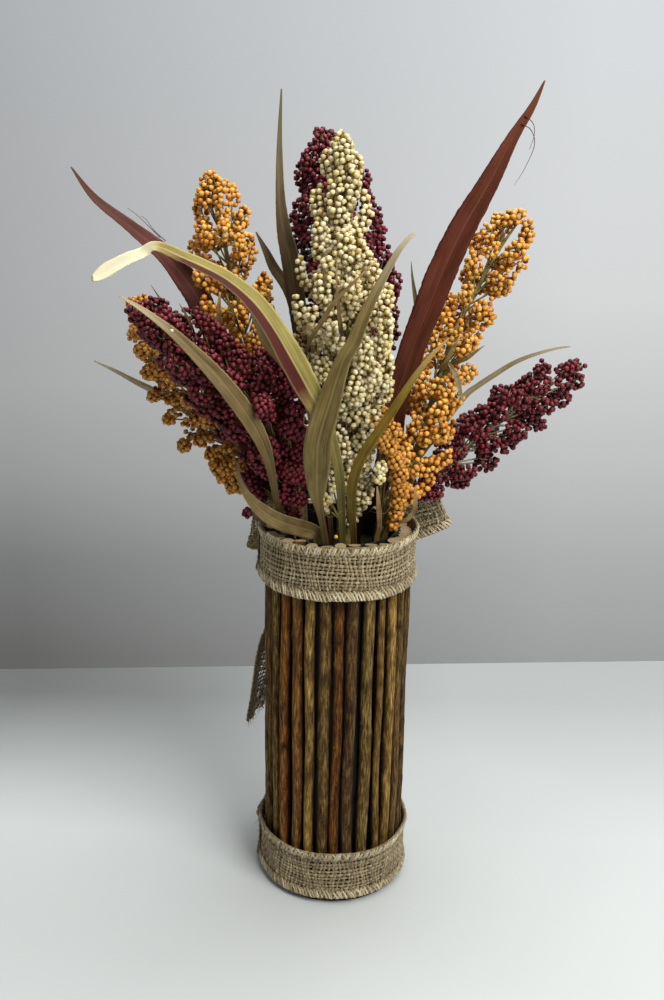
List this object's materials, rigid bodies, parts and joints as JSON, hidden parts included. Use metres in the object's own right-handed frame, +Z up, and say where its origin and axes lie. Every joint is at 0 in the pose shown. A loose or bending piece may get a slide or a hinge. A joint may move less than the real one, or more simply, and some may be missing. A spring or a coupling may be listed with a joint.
{
  "type": "vase of dried sorghum",
  "caption": "Tall round vase walled with upright twigs and tied with burlap ribbon, holding dried sorghum heads and long leaves as decoration.",
  "frame": {"origin": "middle of the flat underside of the pot's foot, on the surface it stands on", "axes": "+Z up along the pot; -Y towards the front, away from the bow; +X to the right seen from the front"},
  "size_m": [0.3589, 0.1648, 0.5822],
  "materials": {
    "pot": "dull black, moulded",
    "foam": "dark dry floral foam",
    "twig": "natural bark, brown to tan and grey, streaked, with knots and pale cut ends",
    "burlap": "open plain weave of jute with stitched edges",
    "cream_seed": "dry cream seeds in bunches on straw branches",
    "burgundy_seed": "dry burgundy seeds in bunches on straw branches",
    "orange_seed": "dry orange seeds in bunches on straw branches",
    "red_leaf": "dry red-brown leaf with fine lengthwise veins",
    "green_leaf": "dry yellow-green leaf, tan and burgundy in places",
    "tan_leaf": "dry grey-green to tan leaf"
  },
  "bodies": {
    "root": {"pot": "pot", "foam": "foam", "twig_01": "twig", "twig_02": "twig", "twig_03": "twig", "twig_04": "twig", "twig_05": "twig", "twig_06": "twig", "twig_07": "twig", "twig_08": "twig", "twig_09": "twig", "twig_10": "twig", "twig_11": "twig", "twig_12": "twig", "twig_13": "twig", "twig_14": "twig", "twig_15": "twig", "twig_16": "twig", "twig_17": "twig", "twig_18": "twig", "twig_19": "twig", "twig_20": "twig", "twig_21": "twig", "twig_22": "twig", "twig_23": "twig", "twig_24": "twig", "twig_25": "twig", "twig_26": "twig", "twig_27": "twig", "twig_28": "twig", "twig_29": "twig", "twig_30": "twig", "ribbon_upper": "burlap", "ribbon_lower": "burlap", "bow_knot": "burlap", "bow_loop_left": "burlap", "bow_loop_right": "burlap", "bow_tail_left": "burlap", "bow_tail_right": "burlap", "cream_head": "cream_seed", "burgundy_head_left": "burgundy_seed", "burgundy_head_back": "burgundy_seed", "burgundy_head_right": "burgundy_seed", "orange_head_left": "orange_seed", "orange_head_far_left": "orange_seed", "orange_head_right": "orange_seed", "red_leaf_right": "red_leaf", "red_leaf_left": "red_leaf", "folded_leaf": "green_leaf", "upright_leaf": "tan_leaf", "hidden_leaf": "tan_leaf", "broad_leaf": "green_leaf", "green_leaf_right": "green_leaf", "green_leaf_left": "green_leaf", "far_left_leaf": "tan_leaf", "rim_leaf": "green_leaf", "far_right_leaf": "tan_leaf", "curl_leaf_left": "tan_leaf", "curl_leaf_right": "tan_leaf", "narrow_leaf": "tan_leaf"}
  },
  "joints": []
}
